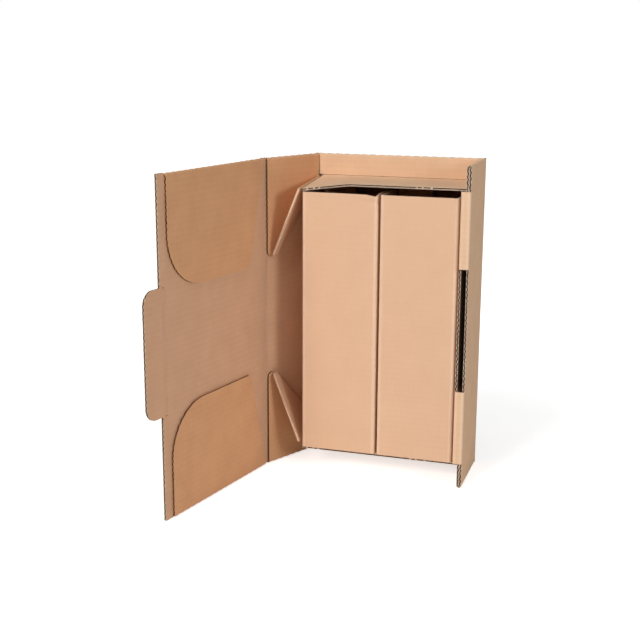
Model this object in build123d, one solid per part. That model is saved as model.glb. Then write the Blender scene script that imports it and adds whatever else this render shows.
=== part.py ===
"""Upright bottle carton of folded corrugated board, with its side wall and lid swung open.

One die-cut sheet makes the carton: back panel, doubled rims, recessed end walls, a roll-over
right wall with a slot, a left wall that swings, a lid with two folded flaps and a tuck tab.
Two open sleeves of the same board stand inside and hold a bottle each.

Frame: X along the back panel, to the right seen from the front, Y towards the back, Z up.
The origin is the middle of the back panel's bottom rim. Millimetres and degrees.
"""

import os
from math import acos, atan2, cos, degrees, hypot, pi, radians, sin, tan

from build123d import *

# Carton, outside and closed, with the lid's own thickness left out of the depth
carton_width = 231.0
carton_depth = 106.0
carton_height = 420.0

# Board, the air left between plies folded flat on each other, and the room left for moving plies
board = 3.0
ply_gap = 0.3
swing_clearance = 0.4
fold_radius = 2.0

# How far the side wall stands open from square, and how far the lid stands out of the wall's plane
wall_splay = 25.5
lid_angle = 13.9

# End walls, sunk below the rims so that the ends can crumple, and set back from the lid's crease
end_recess = 29.2
end_setback = 6.5
end_twist_run = 62.0

# Flap that doubles the side wall, from the lid's crease back, and the slope of its web's crease
wall_flap_setback = 1.5
wall_flap_corner = 7.0
web_crease_angle = 48.5

# Flaps that double the lid's two ends
lid_flap_length = 138.0
lid_flap_edge_inset = 13.7
lid_flap_rim_inset = 5.0
lid_flap_tip_inset = 40.0
lid_flap_corner = 66.0
lid_flap_tip_corner = 6.0

# Tuck tab and the slot that it goes into
tab_height = 156.0
tab_reach = 30.0
tab_corner = 17.0
tab_slit = 1.2
slot_clearance = 2.0

# Bottle sleeves: the room left round them, and the air behind the cushion panel
sleeve_spacing = 3.0
sleeve_headroom = 1.2
sleeve_side_room = 2.2
sleeve_front_room = 1.3
cushion_air = 13.5
sleeve_fold_radius = 2.2

# Plies of the stacked walls, counted from the outside in
ply = board + ply_gap
rim_width = board + ply
left = -carton_width / 2
right = carton_width / 2
back = rim_width / 2
front = back - carton_depth
half_board = board / 2
mid_height = Plane.XY.offset(carton_height / 2)

# Creases: a round nose on one ply turns in a scallop of the other
scallop = hypot(half_board, half_board + swing_clearance)

# Web corner. The web folds on a sloping crease from the wall's back corner (A) to the flap's corner (C),
# and its upper side, as long as the end wall's edge, ends at that wall's front corner (B). Folded flat, that
# side lies level. It keeps its angle to the crease and stays square to the back panel, so opening the wall
# tips it to corner_tip, pulls the end wall's corner down by corner_drop and lifts the web off the flap by
# web_lift.
corner_z = carton_height - end_recess - half_board
web_start = half_board + ply + swing_clearance
web_end = carton_depth - half_board - wall_flap_setback
end_leg = carton_depth - half_board - end_setback - web_start
slope = radians(web_crease_angle)
opening = radians(wall_splay)
web_fall = (web_end - web_start) * tan(slope)
web_low_z = corner_z - web_fall
web_axis_depth = half_board + ply + ply_gap / 2
level_run = cos(slope) * cos(opening)
corner_tip = atan2(sin(slope), level_run) - acos(cos(slope) / hypot(level_run, sin(slope)))
corner_drop = end_leg * sin(corner_tip)
web_lift = degrees(acos((cos(opening) * cos(corner_tip) - cos(slope) ** 2) / sin(slope) ** 2))

# Roll-over wall: outer ply, hollow for the folded flap and web, inner leaf
hollow = 2 * board + 3 * ply_gap
roll_width = 2 * board + hollow
roll_front = carton_depth - swing_clearance
roll_top = carton_height - end_recess - board - swing_clearance

# End walls reach from the folded side wall's plies to the folded web in the roll-over wall
end_left = left + 3 * board + 2 * ply_gap + swing_clearance
end_right = right - 2 * ply
end_front = back - half_board - web_start - end_leg

# Sleeves fill the room between the folded side wall, the roll-over leaf, the end walls and the lid's flaps
sleeve_left = end_left + swing_clearance
sleeve_width = (right - roll_width - sleeve_side_room - sleeve_left - sleeve_spacing) / 2
sleeve_front = front + ply + sleeve_front_room
sleeve_depth = back - board - swing_clearance - sleeve_front
sleeve_foot = end_recess + board
sleeve_height = carton_height - sleeve_foot - corner_drop - sleeve_headroom - sleeve_foot

# Lid and tab, measured from the lid's crease
lid_edge = carton_width - half_board
tab_crease = lid_edge - board - hollow / 2
tab_low = (carton_height - tab_height) / 2
tab_high = tab_low + tab_height


def upright_plane(x, y, heading):
    """Plane of a standing panel: local X along heading, local Y up, local Z to the heading's right."""
    turn = radians(heading)
    return Plane(origin=(x, y, 0), x_dir=(cos(turn), sin(turn), 0), z_dir=(sin(turn), -cos(turn), 0))


def along(plane, distance):
    """Point at a distance along a standing panel's foot."""
    point = plane.origin + plane.x_dir * distance
    return point.X, point.Y


def span(low_x, high_x, low_y=0.0, high_y=carton_height):
    """Rectangle between two corners of a panel's own plane."""
    centre = Pos((low_x + high_x) / 2, (low_y + high_y) / 2)
    return centre * Rectangle(high_x - low_x, high_y - low_y)


def outline(*points):
    """Closed outline through points of a panel's own plane."""
    return make_face(Polyline(*points, close=True))


def rounded(shape, point, radius):
    """Outline with the corner nearest to a point rounded."""
    corner = shape.vertices().sort_by_distance((*point, 0))[0]
    return fillet(corner, radius)


def layer(plane, shape, start, end):
    """Ply of board: an outline carried from one depth of a plane to another."""
    low, high = min(start, end), max(start, end)
    return extrude(plane * Pos(0, 0, low) * shape, high - low, dir=plane.z_dir)


def both_ends(shape):
    """A feature of the upper end together with its mirror image at the lower end."""
    return shape + mirror(shape, about=mid_height)


def post(plane, distance, radius):
    """Upright round bar on a panel's crease line."""
    x, y = along(plane, distance)
    return Pos(x, y, carton_height / 2) * Cylinder(radius, carton_height)


def nose(plane, distance, low=0.0, high=carton_height):
    """Half-round end of a ply that a crease turns on, from the crease line on."""
    ahead = span(distance, distance + board, low, high)
    return post(plane, distance, half_board) & layer(plane, ahead, -board, board)


def hem(plane, flap, outer, inner):
    """Flap folded flat over the top rim: two plies, the air between them and a rounded fold.

    outer is the depth of the panel's outer face, inner that of the flap's own far face.
    """
    sign = 1 if inner > outer else -1
    block = layer(plane, flap, outer, inner)
    rim = block.edges().group_by(Axis.Z)[-1]
    block = fillet(rim.filter_by(Axis(plane.origin, plane.x_dir)), fold_radius)
    below_fold = span(-carton_width, 2 * carton_width, 0, carton_height - board)
    return block - layer(plane, flap & below_fold, outer + sign * board, outer + sign * ply)


def hemmed(plane, panel, flap, outer, inner):
    """Panel whose two ends are doubled by the same flap."""
    sign = 1 if inner > outer else -1
    at_rim = span(-carton_width, 2 * carton_width, carton_height - board, carton_height)
    room = layer(plane, flap & at_rim, outer, outer + sign * board)
    return layer(plane, panel, outer, outer + sign * board) - both_ends(room) + both_ends(
        hem(plane, flap, outer, inner))


def web_flap(start, end, fall):
    """Flap of a web corner: it reaches down to the crease that falls from the end wall's level."""
    return outline((start, carton_height), (end, carton_height), (end, corner_z - fall), (start, corner_z))


# Headings of panels that run along the back, from the back to the front, and the opposite way
to_right = 0
to_front = -90
to_left = 180

# Planes of the panels; the side wall and the lid stand as they were left open
back_plane = upright_plane(left, back, to_right)
right_plane = upright_plane(right, back, to_front)
wall_plane = upright_plane(left + half_board, back - half_board, to_front - wall_splay)
lid_plane = upright_plane(*along(wall_plane, carton_depth), to_front - wall_splay + lid_angle)


def end_wall(level, drop):
    """Recessed end wall; drop lowers its front left corner, where the web pulls on it."""
    def section(x, sag):
        points = [(back - ply, level), (end_front, level - sag),
                  (end_front, level - sag + board), (back - ply, level + board)]
        return make_face(Polyline(*[(x, y, z) for y, z in points], close=True))

    run_end = end_left + end_twist_run
    flat = extrude(section(run_end, 0), end_right - run_end, dir=(1, 0, 0))
    return flat + loft([section(end_left, drop), section(run_end, 0)], ruled=True)


def back_panel():
    """Back panel with its doubled rims and the nose of the side wall's crease."""
    strip = span(board + swing_clearance, carton_width - ply,
                 carton_height - end_recess - board, carton_height)
    panel = span(half_board, carton_width)
    crease = upright_plane(left + half_board, back - half_board, to_left)
    return hemmed(back_plane, panel, strip, 0, rim_width) + nose(crease, 0)


def roll_over():
    """Doubled front of the right wall: two folds round a hollow, slotted for the tab."""
    tall = (carton_height - roll_top, roll_top)
    outside = layer(right_plane, span(rim_width, roll_front, *tall), 0, roll_width)
    folds = outside.edges().filter_by(Axis.Z).group_by(Axis.Y)[0]
    rolled = fillet(folds, fold_radius)
    rolled -= layer(right_plane, span(0, roll_front - board, *tall), 0, roll_width - board)
    slot = span(roll_front - board, roll_front, tab_low - slot_clearance, tab_high + slot_clearance)
    return rolled - layer(right_plane, slot, 0, roll_width)


def right_wall():
    """Right wall: hemmed ends, the roll-over leaf, and the flaps and webs locked in its hollow.

    Those webs fold on a crease at 45 degrees, so that their upper side lies level along the end wall.
    """
    behind_roll = roll_front - board - ply_gap
    hidden_leg = behind_roll - rim_width
    hidden_low = corner_z - hidden_leg
    flap = web_flap(ply, roll_front, roll_front - ply) & span(
        0, roll_front, carton_height - end_recess - board, carton_height)
    flap += web_flap(rim_width, behind_roll, hidden_leg)
    web = outline((rim_width, corner_z), (behind_roll, corner_z), (behind_roll, hidden_low))
    panel = span(0, roll_front) - span(
        roll_front - board, roll_front, carton_height - roll_top, roll_top)
    wall = hemmed(right_plane, panel, flap, 0, rim_width)
    return wall + both_ends(layer(right_plane, web, 2 * ply, 2 * ply + board)) + roll_over()


def carton_base():
    """Everything of the sheet that stays put: back panel, right wall and the two end walls."""
    top_level = carton_height - end_recess - board
    body = back_panel() + right_wall()
    body += end_wall(top_level, corner_drop)
    body += end_wall(end_recess, 0)
    return body


def side_wall():
    """Left wall with its two folded flaps, a scallop at the back crease and the lid's nose."""
    flap = rounded(web_flap(web_start, web_end, web_fall), (web_end, web_low_z), wall_flap_corner)
    wall = hemmed(wall_plane, span(0, carton_depth), flap, half_board, -half_board - ply)
    return wall + nose(wall_plane, carton_depth) - post(wall_plane, 0, scallop)


def web():
    """Upper web triangle, lifted off the flap about the diagonal crease."""
    inset = ply_gap / 2
    upper_end = (web_start + end_leg, corner_z)
    triangle = outline((web_start, corner_z), upper_end, (web_end, web_low_z))
    triangle = rounded(triangle, (web_end, web_low_z), wall_flap_corner)
    flat = layer(wall_plane, triangle, -web_axis_depth - inset, -web_axis_depth - inset - board)
    a_point = wall_plane.from_local_coords(Vector(web_start, corner_z, -web_axis_depth))
    c_point = wall_plane.from_local_coords(Vector(web_end, web_low_z, -web_axis_depth))
    return flat.rotate(Axis(a_point, c_point - a_point), -web_lift)


def lid():
    """Lid with its two folded flaps, cut back round the tab."""
    tip = carton_height - lid_flap_length
    flap_edge = lid_edge - lid_flap_edge_inset
    flap = outline((half_board + lid_flap_rim_inset, carton_height), (flap_edge, carton_height),
                   (flap_edge, tip), (half_board + lid_flap_tip_inset, tip))
    flap = rounded(flap, (flap_edge, tip), lid_flap_corner)
    flap = rounded(flap, (half_board + lid_flap_tip_inset, tip), lid_flap_tip_corner)
    panel = span(0, lid_edge) - span(tab_crease, lid_edge, tab_low - tab_slit, tab_high + tab_slit)
    sheet = hemmed(lid_plane, panel, flap, half_board, -half_board - ply)
    return sheet + nose(lid_plane, tab_crease, tab_low, tab_high) - post(lid_plane, 0, scallop)


def tuck_tab():
    """Tab that folds off the lid and goes into the roll-over wall's slot."""
    tip = lid_edge + tab_reach
    shape = span(tab_crease, tip, tab_low, tab_high)
    shape = fillet(shape.vertices().group_by(Axis.X)[-1], tab_corner)
    return layer(lid_plane, shape, -half_board, half_board) - post(lid_plane, tab_crease, scallop)


def bottle_sleeve(x):
    """Sleeve of one sheet: the four sides of a tube, its glued lap and a half-width rear cushion."""
    lap = half_board + ply
    far_side = sleeve_width - half_board
    rear = sleeve_depth - half_board
    cushion = rear - board - cushion_air
    path = FilletPolyline(
        (sleeve_width / 2, cushion), (lap, cushion), (lap, rear), (far_side, rear),
        (far_side, half_board), (half_board, half_board), (half_board, sleeve_depth - ply),
        radius=sleeve_fold_radius)
    tube = extrude(trace(path, board), sleeve_height, dir=(0, 0, 1))
    return Pos(x, sleeve_front, sleeve_foot) * tube


def keep(name, shape):
    """Write one node's solid."""
    shape.label = name
    export_step(shape, f"parts/{name}.step")


os.makedirs("parts", exist_ok=True)
upper_web = web()
keep("carton_base", carton_base())
keep("side_wall", side_wall())
keep("web_top", upper_web)
keep("web_bottom", mirror(upper_web, about=mid_height))
keep("lid", lid())
keep("tuck_tab", tuck_tab())
keep("bottle_sleeve_left", bottle_sleeve(sleeve_left))
keep("bottle_sleeve_right", bottle_sleeve(sleeve_left + sleeve_width + sleeve_spacing))
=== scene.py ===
# %% [markdown]
# # A two-bottle carton of corrugated board, in Blender
#
# The carton is one die-cut sheet of corrugated board, folded up, with two open sleeves standing in it.
# Corrugated board is three papers: two flat liners, and between them a fluted medium that stands in a wave.
# Wherever the sheet is cut across its flutes, that wave shows on the raw edge.
#
# A plain block with a brown colour would do for a box far away. Here every panel is built as real board
# instead: each liner and the medium are thin closed surfaces, worked out as functions of two parameters.

import bpy
import numpy as np
from mathutils import Matrix, Vector


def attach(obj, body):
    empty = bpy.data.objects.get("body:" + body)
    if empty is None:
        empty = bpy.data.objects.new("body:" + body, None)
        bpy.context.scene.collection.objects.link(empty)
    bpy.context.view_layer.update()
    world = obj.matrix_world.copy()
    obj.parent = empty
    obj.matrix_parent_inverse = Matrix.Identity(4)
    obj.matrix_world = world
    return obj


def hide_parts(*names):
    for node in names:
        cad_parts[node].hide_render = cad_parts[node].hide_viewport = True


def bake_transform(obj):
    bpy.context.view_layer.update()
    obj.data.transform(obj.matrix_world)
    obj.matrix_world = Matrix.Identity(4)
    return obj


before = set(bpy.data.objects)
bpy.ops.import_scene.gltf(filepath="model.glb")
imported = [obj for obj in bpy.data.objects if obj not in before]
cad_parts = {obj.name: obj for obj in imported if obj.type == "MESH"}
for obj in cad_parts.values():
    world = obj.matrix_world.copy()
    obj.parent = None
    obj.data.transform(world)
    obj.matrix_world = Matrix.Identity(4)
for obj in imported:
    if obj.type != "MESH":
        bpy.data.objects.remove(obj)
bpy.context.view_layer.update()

# %% [markdown]
# ## Sizes
#
# The same named sizes as in the part's source, in millimetres and degrees. The mesh helper further down
# turns millimetres into metres, so that all shapes can be thought of in millimetres. The right side is drawn
# in by a thousandth of a millimetre, so that rounding can't push it out of the CAD box.

# %% Sizes of the carton
carton_width, carton_depth, carton_height = 231.0, 106.0, 420.0
board, ply_gap, clearance = 3.0, 0.3, 0.4
wall_splay, lid_angle = 25.5, 13.9
end_recess, end_setback, end_twist_run = 29.2, 6.5, 62.0
wall_flap_setback, web_corner, web_crease_angle = 1.5, 7.0, 48.5
ply = board + ply_gap
half_board = board / 2
rim_width = board + ply
box_inset = 0.001
left, right = -carton_width / 2, carton_width / 2 - box_inset
back = rim_width / 2
mid_height = carton_height / 2
corner_z = carton_height - end_recess - half_board

# Web corner, worked out from the splay as in the part: see the cell on the side wall
web_start = half_board + ply + clearance
web_end = carton_depth - half_board - wall_flap_setback
end_leg = carton_depth - half_board - end_setback - web_start
slope, opening = np.radians([web_crease_angle, wall_splay])
web_low_z = corner_z - (web_end - web_start) * np.tan(slope)
web_axis_depth = half_board + ply + ply_gap / 2
level_run = np.cos(slope) * np.cos(opening)
full_run = np.hypot(level_run, np.sin(slope))
corner_tip = np.arctan2(np.sin(slope), level_run) - np.arccos(np.cos(slope) / full_run)
corner_drop = end_leg * np.sin(corner_tip)
web_lift = np.arccos((np.cos(opening) * np.cos(corner_tip) - np.cos(slope) ** 2) / np.sin(slope) ** 2)
print(f"web lifted by {np.degrees(web_lift):.2f} degrees, end wall's corner down by {corner_drop:.2f} mm")

# Gaps that the panels leave at the moving creases: at a panel's start, at the wall's front, on the back panel
crease_gap, front_gap, back_gap = 2.3, 2.0, 2.7

hollow = 2 * board + 3 * ply_gap
roll_width = 2 * board + hollow
roll_front = carton_depth - clearance
roll_top = carton_height - end_recess - board - clearance

end_left = left + 3 * board + 2 * ply_gap + clearance
end_right = right - 2 * ply
end_front = back - half_board - web_start - end_leg

lid_edge = carton_width - half_board
flap_length, flap_edge_inset, flap_rim_inset, flap_tip_inset = 138.0, 13.7, 5.0, 40.0
flap_corner, flap_tip_corner = 66.0, 6.0
tab_height, tab_reach, tab_corner, slit_seen, slot_clearance = 156.0, 30.0, 17.0, 0.1, 2.0
tab_crease = lid_edge - board - hollow / 2
tab_low = (carton_height - tab_height) / 2
tab_high = tab_low + tab_height

sleeve_spacing, sleeve_headroom, sleeve_side_room = 3.0, 1.2, 2.2
sleeve_front_room, cushion_air = 1.3, 13.5
sleeve_left = end_left + clearance
sleeve_width = (right - roll_width - sleeve_side_room - sleeve_left - sleeve_spacing) / 2
sleeve_front = back - carton_depth + ply + sleeve_front_room
sleeve_depth = back - board - clearance - sleeve_front
sleeve_foot = end_recess + board
sleeve_height = carton_height - 2 * sleeve_foot - corner_drop - sleeve_headroom
sleeve_fold_radius = 2.2
print(f"sleeves {sleeve_width:.1f} by {sleeve_depth:.1f} by {sleeve_height:.1f} mm")

# Papers of the board, the flutes, and how far apart the rows of their meshes lie
liner = 0.36
medium = 0.50
flute_pitch = 7.3
liner_step, medium_step = 4.0, 1.0

# %% [markdown]
# ## One sheet, many folds
#
# The centre line of a folded sheet is made of straight runs and arcs. It could be put together from line
# and arc pieces, each with its own start. It is simpler to say how the heading turns: it stays the same on
# a run and turns evenly through a fold. The running sum of the heading's direction is then the line.

# %% Centre lines
path_grain = 0.02


def fold_path(x, y, heading, length, folds):
    """Centre line of a folded sheet, as a function of the distance s along it.

    The heading is the first heading plus, for each fold (start, radius, angle), the angle times how much
    of the fold's arc s has passed. The position is the running sum of (cos, sin) of the heading.
    """
    s = np.linspace(0, length, int(length / path_grain) + 1)
    turn = np.full_like(s, np.radians(heading))
    for start, radius, angle in folds:
        turn += np.radians(angle) * np.clip((s - start) / (radius * abs(np.radians(angle))), 0, 1)
    middle = (turn[1:] + turn[:-1]) / 2
    step = s[1] - s[0]
    xs = x + np.concatenate([[0], np.cumsum(np.cos(middle))]) * step
    ys = y + np.concatenate([[0], np.cumsum(np.sin(middle))]) * step
    return lambda q: (np.interp(q, s, xs), np.interp(q, s, ys), np.interp(q, s, turn))


def corner_folds(legs, angle, radius):
    """Folds at the corners between straight legs, as (start, radius, angle), and the whole length.

    A rounded corner cuts radius times tan(angle / 2) off both its legs and puts its arc in their place.
    """
    arc = radius * abs(np.radians(angle))
    cut = radius * np.tan(abs(np.radians(angle)) / 2)
    corner = np.arange(len(legs) - 1)
    starts = np.cumsum(legs)[:-1] - cut * (2 * corner + 1) + arc * corner
    length = float(np.sum(legs) + (arc - 2 * cut) * (len(legs) - 1))
    return [(start, radius, angle) for start in starts], length


def heading_vector(degrees):
    """Horizontal direction of a heading: its cosine and sine."""
    return np.array([np.cos(np.radians(degrees)), np.sin(np.radians(degrees)), 0.0])


def out_of(degrees):
    """Horizontal direction to the right of a heading: a standing panel's outer side."""
    return np.array([np.sin(np.radians(degrees)), -np.cos(np.radians(degrees)), 0.0])


up = np.array([0.0, 0.0, 1.0])

# Distances from mid height, along the sheet: to the rim's fold, over it, down the strip, and past every flap
rim_radius = ply / 2
to_rim = mid_height - half_board - rim_radius
over_rim = to_rim + np.pi * rim_radius
to_end_wall = over_rim + end_recess - half_board - rim_radius
sheet_run = 420.0
print(f"sheet from mid height: {to_rim:.2f} mm to the rim, {over_rim - to_rim:.2f} mm over it")


def on_flap(z):
    """Distance along the sheet, from mid height, of a point at height z on a flap behind the rim."""
    return over_rim + mid_height + to_rim - z


def flap_height(p):
    """Height on the upper flap at a distance p along the sheet, the reverse of on_flap."""
    return mid_height + to_rim + over_rim - np.abs(p)


def rim_surface(foot, heading, out, folds=()):
    """Panel whose two ends turn over the rims: centre and normal at p up from mid height, q along the panel.

    The section is a fold path that starts upwards, and the lower half is its mirror image.
    """
    along = heading_vector(heading)
    rim = (to_rim, rim_radius, 180.0)
    path = fold_path(0, 0, 90, sheet_run, [rim, *folds])

    def surface(p, q):
        depth, height, turn = path(np.abs(p))
        side = np.where(p < 0, -1.0, 1.0)
        normal = np.sin(turn)[..., None] * out - (side * np.cos(turn))[..., None] * up
        z = mid_height + side * height
        centre = foot + q[..., None] * along + depth[..., None] * out + z[..., None] * up
        return centre, normal + 0 * q[..., None]

    return surface


def panel_surface(foot, heading, out):
    """Plain standing panel: p up from mid height, q along the panel."""
    along = heading_vector(heading)

    def surface(p, q):
        centre = foot + q[..., None] * along + (mid_height + p)[..., None] * up
        return centre, out + 0 * centre

    return surface


def wound_surface(x, y, heading, length, folds, side):
    """Sheet wound round upright creases: centre and normal at height p, distance q along the plan's path."""
    path = fold_path(x, y, heading, length, folds)

    def surface(p, q):
        xs, ys, turn = path(q)
        centre = np.stack([xs, ys, p + 0 * q], -1)
        return centre, side * np.stack([np.sin(turn), -np.cos(turn), 0 * q], -1)

    return surface


# %% [markdown]
# ## From papers to a mesh
#
# Each paper is a thin slab: one grid of points for each face, and a border round the edge. The Solidify
# modifier could thicken a single grid, but a wave that ends on a curved cut is easier to close by hand.
# Low face, high face and cut edge of a slab can each have a paper of their own, so a raw edge is pale while
# the flutes behind it stay dark, with their paper painted dark as painted shade. The slabs of one piece are
# joined in one mesh. Its UV map holds lengths along and across the flutes, so the paper's pattern follows
# every fold, and an attribute holds how near a fold is.

# %% Slabs and pieces
sharp_angle = np.radians(38)
metre_per_mm = 0.001


def slab_faces(rows, cols):
    """Quads of a closed slab whose two faces are grids of rows by cols points, the low one first."""
    index = np.arange(rows * cols).reshape(rows, cols)
    face = np.stack([index[:-1, :-1], index[:-1, 1:], index[1:, 1:], index[1:, :-1]], -1).reshape(-1, 4)
    rim = np.concatenate([index[0, :-1], index[:-1, -1], index[-1, :0:-1], index[:0:-1, 0]])
    after = np.roll(rim, -1)
    count = rows * cols
    border = np.stack([rim, after, after + count, rim + count], -1)
    return np.concatenate([face[:, ::-1], face + count, border])


def signed_volume(points, faces):
    """Sum of the cones from the origin to each quad; negative where the faces point inwards."""
    a, b, c, d = (points[faces[:, i]] for i in range(4))
    return np.sum(a * (np.cross(b, c) + np.cross(c, d)))


class Piece:
    """Collects the slabs of one piece of board, and makes its mesh."""

    def __init__(self, name):
        self.name = name
        self.points, self.faces, self.sheet, self.fold, self.finish = [], [], [], [], []
        self.count = 0

    def slab(self, low, high, sheet, fold, finish):
        """Adds a slab; finish gives the papers of its low face, its high face and its cut edge."""
        rows, cols = low.shape[:2]
        points = np.concatenate([low.reshape(-1, 3), high.reshape(-1, 3)])
        faces = slab_faces(rows, cols)
        if signed_volume(points - points.mean(0), faces) < 0:
            faces = faces[:, ::-1]
        self.points.append(points)
        self.faces.append(faces + self.count)
        self.sheet.append(np.tile(sheet.reshape(-1, 2), (2, 1)))
        self.fold.append(np.tile(fold.reshape(-1), 2))
        side = (rows - 1) * (cols - 1)
        self.finish.append(np.repeat(finish, [side, side, len(faces) - 2 * side]))
        self.count += len(points)

    def make(self, finishes):
        """Joins the slabs in one mesh, with its papers, its UV map and its nearness to folds."""
        points, faces = np.concatenate(self.points), np.concatenate(self.faces)
        mesh = bpy.data.meshes.new(self.name)
        mesh.from_pydata((points * metre_per_mm).tolist(), [], faces.tolist())
        for finish in finishes:
            mesh.materials.append(finish)
        mesh.polygons.foreach_set("material_index", np.concatenate(self.finish).astype(np.int32))
        mesh.polygons.foreach_set("use_smooth", np.ones(len(faces), bool))
        sheet = np.concatenate(self.sheet)[faces.ravel()]
        sheet_map = mesh.uv_layers.new(name="sheet")
        sheet_map.data.foreach_set("uv", (sheet * metre_per_mm).astype(np.float32).ravel())
        fold = mesh.attributes.new("fold", "FLOAT", "POINT")
        fold.data.foreach_set("value", np.concatenate(self.fold).astype(np.float32))
        mesh.update()
        mesh.set_sharp_from_angle(angle=sharp_angle)
        piece = bpy.data.objects.new(self.name, mesh)
        bpy.context.scene.collection.objects.link(piece)
        print(f"{self.name}: {2 * len(faces)} triangles")
        return piece


# %% Laying the board


def rows_between(start, end, step, *extra):
    """Rows from start to end, about a step apart, with extra rows where a curve needs them."""
    count = max(2, int(abs(end - start) / step) + 1)
    rows = np.concatenate([np.linspace(start, end, count), *[np.atleast_1d(e) for e in extra]])
    rows, slack = np.unique(np.round(rows, 5)), 1e-4
    return rows[(rows >= min(start, end) - slack) & (rows <= max(start, end) + slack)]


def flute(p):
    """Height of the fluted medium's middle, from -1 to 1: a cosine whose crests a tanh makes broader."""
    breadth = 1.2
    return np.tanh(breadth * np.cos(2 * np.pi * p / flute_pitch)) / np.tanh(breadth)


def lay_board(piece, surface, p, low, high, columns, finishes, crush=1.0, dent=None, fold=None):
    """Lays three papers on a centre surface, between the limits low(p) and high(p) along the flutes.

    Outer liner, inner liner and medium stand off the centre along its normal: the liners by half the
    board, less the outer one's dent, and the medium by the flute's wave, which crush makes flatter. The
    finishes are the papers outside, inside, in the flutes and on the cut edges. Where fold is given, it
    says how near a fold is, and the medium gets all the columns.
    """
    # The paper in the flutes is painted near black: painted shade of the hollow flutes, also on the liners'
    # faces towards them.
    outer, inner, core, cut = finishes
    reach = half_board - liner - medium / 2
    columns = np.asarray(columns, float)

    def grid(rows, shares):
        """Points of the centre surface, at shares of the way from low to high on every row."""
        starts, ends = np.broadcast_to(low(rows), rows.shape), np.broadcast_to(high(rows), rows.shape)
        q = starts[:, None] + (ends - starts)[:, None] * shares
        centre, normal = surface(rows[:, None] + 0 * q, q)
        near = fold(rows[:, None] + 0 * q, q) if fold else np.zeros_like(q)
        return rows[:, None] + 0 * q, q, centre, normal, near

    def put(rows, shares, near_offset, far_offset, finish):
        """One paper, between two offsets from the centre surface."""
        across, along, centre, normal, near = grid(rows, shares)
        bottom, top = near_offset(across, along), far_offset(across, along)
        piece.slab(centre + normal * bottom[..., None], centre + normal * top[..., None],
                   np.stack([along, across], -1), near, finish)

    def outside(p_, q_):
        """Offset of the outer face: half the board, less the dent."""
        return half_board - (dent(p_, q_) if dent else 0 * p_)

    put(p, columns, lambda a, b: outside(a, b) - liner, outside, (core, outer, cut))
    put(p, columns, lambda a, b: -half_board + 0 * a, lambda a, b: liner - half_board + 0 * a,
        (inner, core, cut))
    waves = np.unique(np.concatenate([p, rows_between(p[0], p[-1], medium_step)]))
    core_columns = columns if fold else np.array([0, 0.5, 1])
    put(waves, core_columns, lambda a, b: crush * reach * flute(a) - medium / 2,
        lambda a, b: crush * reach * flute(a) + medium / 2, (core, core, cut))


def close_edge(piece, surface, p, q, inward, finish):
    """Closes a cut that runs along the flutes, where the last flute's wall shows between the liners.

    The strip follows the points (p, q) of the edge, crosses the board from liner to liner and is as thick
    as the inward step (dp, dq). Across the board it is hollowed by a parabola, to a share of that step.
    With a liner's paper it closes a folded side in the same way.
    """
    liner_hold, hollow_share = 0.6, 0.35
    across = np.linspace(-1, 1, 6) * (half_board - liner_hold * liner)
    p, q = np.broadcast_arrays(p, q)
    grid_p, grid_q = p[:, None] + 0 * across, q[:, None] + 0 * across
    groove = hollow_share * (1 - (across / half_board) ** 2)
    outer, normal = surface(grid_p + inward[0] * groove, grid_q + inward[1] * groove)
    inner, _ = surface(grid_p + inward[0], grid_q + inward[1])
    offset = (across + 0 * grid_p)[..., None] * normal
    piece.slab(inner + offset, outer + offset, np.stack([grid_q, grid_p + across], -1), 0 * grid_p,
               (finish,) * 3)


def always(value):
    """Limit that is the same on every row."""
    return lambda p: np.full_like(p, value)


def even(count):
    """Evenly spaced shares from 0 to 1."""
    return np.linspace(0, 1, count)


# %% [markdown]
# ## Paper finishes
#
# Kraft paper is never one colour: long fibres lie mostly across the flutes, and the pulp is cloudy. Where the
# liner bridges two flutes it is painted a little darker, as painted shade of the washboard. Folds are rubbed
# pale. Hardly any light gets into the flutes, so their paper is painted near black as painted shade, and a raw
# cut shows the pale fibres of the pulp. Each paper could have a node tree of its own, but these effects are
# shared by all of them. So each effect is a node group with its own inputs, and a material only sets the
# colours and amounts.

# %% Node helpers


def node_group(name, inputs, outputs):
    """Empty shader group with named sockets, and its input and output nodes."""
    group = bpy.data.node_groups.new(name, "ShaderNodeTree")
    for title, kind in inputs:
        group.interface.new_socket(name=title, in_out="INPUT", socket_type=kind)
    for title, kind in outputs:
        group.interface.new_socket(name=title, in_out="OUTPUT", socket_type=kind)
    return group, group.nodes.new("NodeGroupInput"), group.nodes.new("NodeGroupOutput")


def put_node(tree, kind, links=None, **settings):
    """Node with settings, and with links or plain values on its inputs by index or name."""
    node = tree.nodes.new(kind)
    for key, value in settings.items():
        setattr(node, key, value)
    for key, value in (links or {}).items():
        if isinstance(value, bpy.types.NodeSocket):
            tree.links.new(value, node.inputs[key])
        else:
            node.inputs[key].default_value = value
    return node


def stretched_noise(tree, vector, stretch, detail):
    """Noise on sheet coordinates (metres) times a stretch: cells are 1/stretch metres large."""
    scaled = put_node(tree, "ShaderNodeVectorMath", {0: vector, 1: (*stretch, 1.0)}, operation="MULTIPLY")
    noise = put_node(tree, "ShaderNodeTexNoise",
                     {"Vector": scaled.outputs[0], "Scale": 1.0, "Detail": detail})
    return noise.outputs["Fac"]


def math_node(tree, operation, a, b=0.0, clamp=False):
    """Result of a sum on two sockets or plain values."""
    return put_node(tree, "ShaderNodeMath", {0: a, 1: b}, operation=operation, use_clamp=clamp).outputs[0]


def mix_colours(tree, share, first, second, blend="MIX"):
    """First colour, with the second mixed or multiplied in by its share."""
    return put_node(tree, "ShaderNodeMix", {0: share, 6: first, 7: second}, data_type="RGBA",
                    blend_type=blend).outputs[2]


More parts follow.
